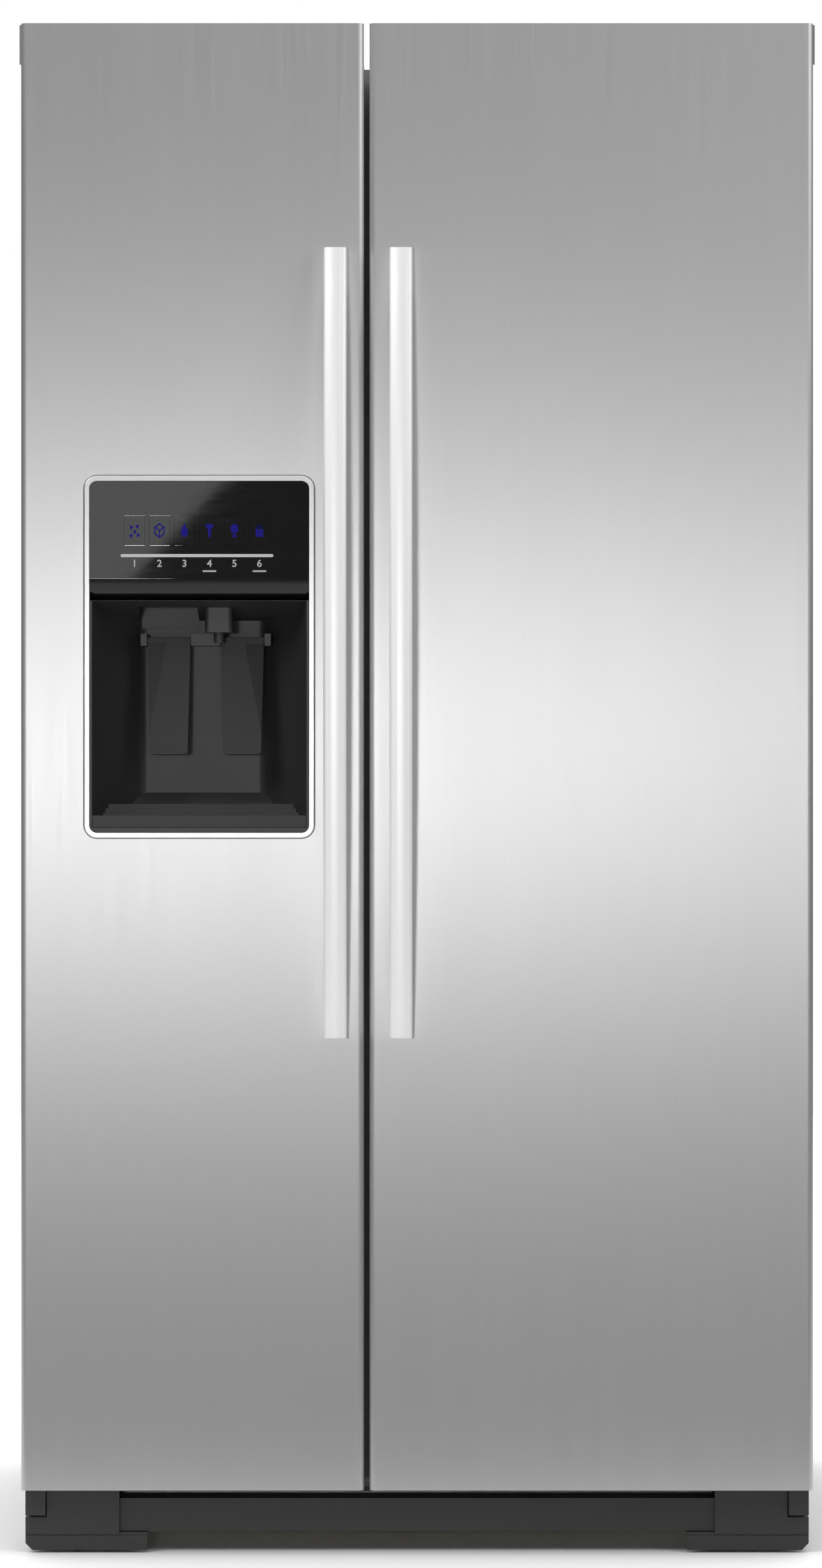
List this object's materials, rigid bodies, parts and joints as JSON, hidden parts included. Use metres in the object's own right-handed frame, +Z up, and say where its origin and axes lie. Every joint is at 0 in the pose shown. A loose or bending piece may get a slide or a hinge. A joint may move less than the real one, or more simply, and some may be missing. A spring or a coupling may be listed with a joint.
{
  "type": "side-by-side refrigerator",
  "caption": "Upright side-by-side refrigerator and freezer in brushed stainless steel, with an ice and water dispenser in the left door and long bowed handles at the middle.",
  "frame": {"origin": "on the floor, under the centre of the overall box, handles and rear cover included", "axes": "+Z up; the doors face -Y; +X is to the right seen from the front, so the freezer is at -X"},
  "size_m": [0.912, 0.844, 1.755],
  "materials": {
    "stainless": "vertical brushed stainless",
    "cabinet_paint": "textured grey paint",
    "zinc": "zinc plated",
    "foam": "rigid foam, never seen",
    "liner_white": "smooth white",
    "black_plastic": "fine grain",
    "housing_black": "satin",
    "gloss_black": "high gloss",
    "cap_grey": "satin grey",
    "gasket_grey": "soft vinyl",
    "bezel_silver": "satin chrome",
    "clear_plastic": "clear with a cool tint",
    "shelf_glass": "tempered glass",
    "shelf_trim": "satin",
    "white_steel": "white powder coat",
    "diffuser": "frosted",
    "nylon": "plain nylon",
    "ice_grey": "plain",
    "aluminium": "mill finish",
    "compressor_black": "semi-gloss black",
    "fan_blue": "plain",
    "cover_galvanised": "galvanised"
  },
  "bodies": {
    "cabinet": {"cabinet_wrapper": "cabinet_paint", "rear_panel": "cover_galvanised", "cabinet_foam": "foam", "freezer_liner": "liner_white", "fridge_liner": "liner_white", "base_frame": "zinc", "base_grille": "black_plastic", "door_hinges": "zinc", "hinge_covers": "cap_grey", "shelf_glass": "shelf_glass", "shelf_frames": "shelf_trim", "shelf_tracks": "white_steel", "crisper_drawers": "clear_plastic", "control_housing": "shelf_trim", "lamp_covers": "diffuser", "freezer_bins": "clear_plastic", "ice_maker": "ice_grey", "evaporator_cover": "liner_white", "compressor": "compressor_black", "heat_exchangers": "aluminium", "drain_pan": "black_plastic", "fan_shroud": "cap_grey", "rear_cover": "cover_galvanised"},
    "freezer_door": {"freezer_door_skin": "stainless", "freezer_door_foam": "foam", "freezer_door_liner": "liner_white", "freezer_door_caps": "cap_grey", "freezer_door_gasket": "gasket_grey", "freezer_door_bins": "clear_plastic", "freezer_handle": "stainless", "dispenser_bezel": "bezel_silver", "dispenser_housing": "housing_black", "dispenser_panel": "gloss_black", "dispenser_outlets": "ice_grey", "drip_tray": "black_plastic"},
    "fridge_door": {"fridge_door_skin": "stainless", "fridge_door_foam": "foam", "fridge_door_liner": "liner_white", "fridge_door_caps": "cap_grey", "fridge_door_gasket": "gasket_grey", "fridge_door_bins": "clear_plastic", "fridge_handle": "stainless"},
    "ice_paddle": {"ice_paddle": "gloss_black"},
    "water_paddle": {"water_paddle": "gloss_black"},
    "chute_flap": {"chute_flap": "housing_black"},
    "front_rollers": {"front_rollers": "nylon"},
    "rear_rollers": {"rear_rollers": "nylon"},
    "levelling_foot_left": {"levelling_foot_left": "zinc"},
    "levelling_foot_right": {"levelling_foot_right": "zinc"},
    "condenser_fan": {"condenser_fan": "fan_blue"},
    "evaporator_fan": {"evaporator_fan": "fan_blue"},
    "ice_ejector": {"ice_ejector": "ice_grey"},
    "ice_auger": {"ice_auger": "white_steel"},
    "dairy_lid": {"dairy_lid": "clear_plastic"},
    "dispenser_key_1": {"dispenser_key_1": "gloss_black"},
    "dispenser_key_2": {"dispenser_key_2": "gloss_black"},
    "dispenser_key_3": {"dispenser_key_3": "gloss_black"},
    "dispenser_key_4": {"dispenser_key_4": "gloss_black"},
    "dispenser_key_5": {"dispenser_key_5": "gloss_black"},
    "dispenser_key_6": {"dispenser_key_6": "gloss_black"}
  },
  "joints": [
    {"name": "freezer_door_hinge", "type": "hinge", "parent": "cabinet", "child": "freezer_door", "pos_m": [-0.438, -0.334, 0.9], "axis": [0, 0, -1], "range_deg": [0, 120]},
    {"name": "fridge_door_hinge", "type": "hinge", "parent": "cabinet", "child": "fridge_door", "pos_m": [0.438, -0.334, 0.9], "axis": [0, 0, 1], "range_deg": [0, 120]},
    {"name": "ice_paddle_pivot", "type": "hinge", "parent": "freezer_door", "child": "ice_paddle", "pos_m": [-0.2872, -0.298, 1.05], "axis": [1, 0, 0], "range_deg": [0, 12], "stiffness_Nm_per_rad": 0.4, "springref_deg": -8.59},
    {"name": "water_paddle_pivot", "type": "hinge", "parent": "freezer_door", "child": "water_paddle", "pos_m": [-0.2022, -0.298, 1.05], "axis": [1, 0, 0], "range_deg": [0, 12], "stiffness_Nm_per_rad": 0.4, "springref_deg": -8.59},
    {"name": "chute_flap_hinge", "type": "hinge", "parent": "freezer_door", "child": "chute_flap", "pos_m": [-0.2875, -0.32526, 1.12328], "axis": [-1, 0, 0], "range_deg": [0, 55]},
    {"name": "dairy_lid_hinge", "type": "hinge", "parent": "fridge_door", "child": "dairy_lid", "pos_m": [0.18962, -0.27522, 1.547], "axis": [1, 0, 0], "range_deg": [0, 75]},
    {"name": "front_rollers_spin", "type": "hinge", "parent": "cabinet", "child": "front_rollers", "pos_m": [0, -0.226, 0.0235], "axis": [1, 0, 0], "continuous": true},
    {"name": "rear_rollers_spin", "type": "hinge", "parent": "cabinet", "child": "rear_rollers", "pos_m": [0, 0.372, 0.022], "axis": [1, 0, 0], "continuous": true},
    {"name": "left_foot_screw", "type": "slide", "parent": "cabinet", "child": "levelling_foot_left", "axis": [0, 0, 1], "range_m": [0, 0.012]},
    {"name": "right_foot_screw", "type": "slide", "parent": "cabinet", "child": "levelling_foot_right", "axis": [0, 0, 1], "range_m": [0, 0.012]},
    {"name": "condenser_fan_spin", "type": "hinge", "parent": "cabinet", "child": "condenser_fan", "pos_m": [0.11, 0.292, 0.185], "axis": [1, 0, 0], "continuous": true},
    {"name": "evaporator_fan_spin", "type": "hinge", "parent": "cabinet", "child": "evaporator_fan", "pos_m": [-0.24438, 0.301, 0.985], "axis": [0, 1, 0], "continuous": true},
    {"name": "ice_ejector_spin", "type": "hinge", "parent": "cabinet", "child": "ice_ejector", "pos_m": [-0.345, -0.093, 1.5], "axis": [0, 1, 0], "continuous": true},
    {"name": "ice_auger_spin", "type": "hinge", "parent": "cabinet", "child": "ice_auger", "pos_m": [-0.2875, 0, 1.247], "axis": [0, 1, 0], "continuous": true},
    {"name": "dispenser_key_1_press", "type": "slide", "parent": "freezer_door", "child": "dispenser_key_1", "axis": [0, 1, 0], "range_m": [0, 0.0012], "stiffness_N_per_m": 900, "springref_m": -0.0006},
    {"name": "dispenser_key_2_press", "type": "slide", "parent": "freezer_door", "child": "dispenser_key_2", "axis": [0, 1, 0], "range_m": [0, 0.0012], "stiffness_N_per_m": 900, "springref_m": -0.0006},
    {"name": "dispenser_key_3_press", "type": "slide", "parent": "freezer_door", "child": "dispenser_key_3", "axis": [0, 1, 0], "range_m": [0, 0.0012], "stiffness_N_per_m": 900, "springref_m": -0.0006},
    {"name": "dispenser_key_4_press", "type": "slide", "parent": "freezer_door", "child": "dispenser_key_4", "axis": [0, 1, 0], "range_m": [0, 0.0012], "stiffness_N_per_m": 900, "springref_m": -0.0006},
    {"name": "dispenser_key_5_press", "type": "slide", "parent": "freezer_door", "child": "dispenser_key_5", "axis": [0, 1, 0], "range_m": [0, 0.0012], "stiffness_N_per_m": 900, "springref_m": -0.0006},
    {"name": "dispenser_key_6_press", "type": "slide", "parent": "freezer_door", "child": "dispenser_key_6", "axis": [0, 1, 0], "range_m": [0, 0.0012], "stiffness_N_per_m": 900, "springref_m": -0.0006}
  ],
  "couplings": [
    {"joint": "chute_flap_hinge", "follows": "ice_paddle_pivot", "ratio": 4.5}
  ]
}
